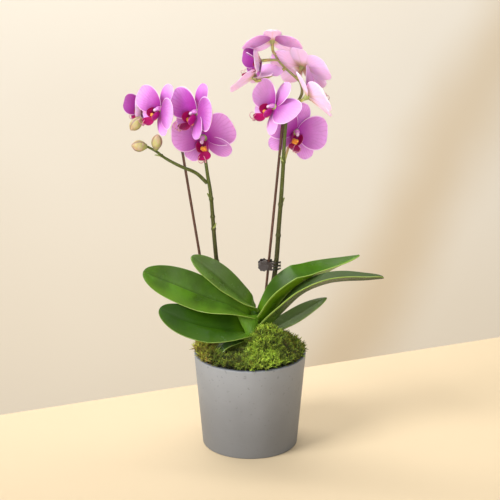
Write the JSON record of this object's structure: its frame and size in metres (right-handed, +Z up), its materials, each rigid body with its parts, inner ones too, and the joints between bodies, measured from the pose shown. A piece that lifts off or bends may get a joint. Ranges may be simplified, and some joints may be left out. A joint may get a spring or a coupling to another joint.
{
  "type": "potted orchid",
  "caption": "Moth orchid with broad strap leaves and two staked, arching flower spikes, planted in moss in a tapered matt pot.",
  "frame": {"origin": "centre of the pot's flat underside, on the surface that it stands on", "axes": "+X to the viewer's right, +Y away from the viewer, +Z up"},
  "size_m": [0.2938, 0.13, 0.4915],
  "materials": {
    "pot": "matt grey fired clay",
    "bark": "rough bark chips",
    "moss": "soft tufted moss",
    "crown": "smooth living stem",
    "leaf": "glossy leaf",
    "stem": "satin living stem",
    "stake": "stained thin stick",
    "petal": "soft velvety petal",
    "lip": "satin petal",
    "bud": "satin bud",
    "clip": "translucent dark plastic",
    "clip_spring": "bare wire"
  },
  "bodies": {
    "planter": {"pot": "pot", "growing_medium": "bark", "moss": "moss", "crown": "crown", "leaf_left_upper": "leaf", "leaf_left_top": "leaf", "leaf_left_lower": "leaf", "leaf_left_stub": "leaf", "leaf_right_upper": "leaf", "leaf_right_lower": "leaf", "leaf_right_small": "leaf", "stake_left": "stake", "stake_right": "stake", "spike_left": "stem", "spike_right": "stem", "bud_left_end": "bud", "bud_left_upper": "bud", "bud_left_lower": "bud", "bloom_left_1_tepals": "petal", "bloom_left_1_lip": "lip", "bloom_left_2_tepals": "petal", "bloom_left_2_lip": "lip", "bloom_left_3_tepals": "petal", "bloom_left_3_lip": "lip", "bloom_left_4_tepals": "petal", "bloom_left_4_lip": "lip", "bloom_right_1_tepals": "petal", "bloom_right_1_lip": "lip", "bloom_right_2_tepals": "petal", "bloom_right_2_lip": "lip", "bloom_right_3_tepals": "petal", "bloom_right_3_lip": "lip", "bloom_right_4_tepals": "petal", "bloom_right_4_lip": "lip", "bloom_right_5_tepals": "petal", "bloom_right_5_lip": "lip", "bloom_right_6_tepals": "petal", "bloom_right_6_lip": "lip", "bloom_right_7_tepals": "petal", "bloom_right_7_lip": "lip", "clip_jaw_front": "clip", "clip_spring": "clip_spring"},
    "clip_jaw": {"clip_jaw_back": "clip"}
  },
  "joints": [
    {"name": "clip_hinge", "type": "hinge", "parent": "planter", "child": "clip_jaw", "pos_m": [0.0172, 0.016, 0.212], "axis": [0, 0, 1], "range_deg": [0, 30], "stiffness_Nm_per_rad": 0.005}
  ]
}
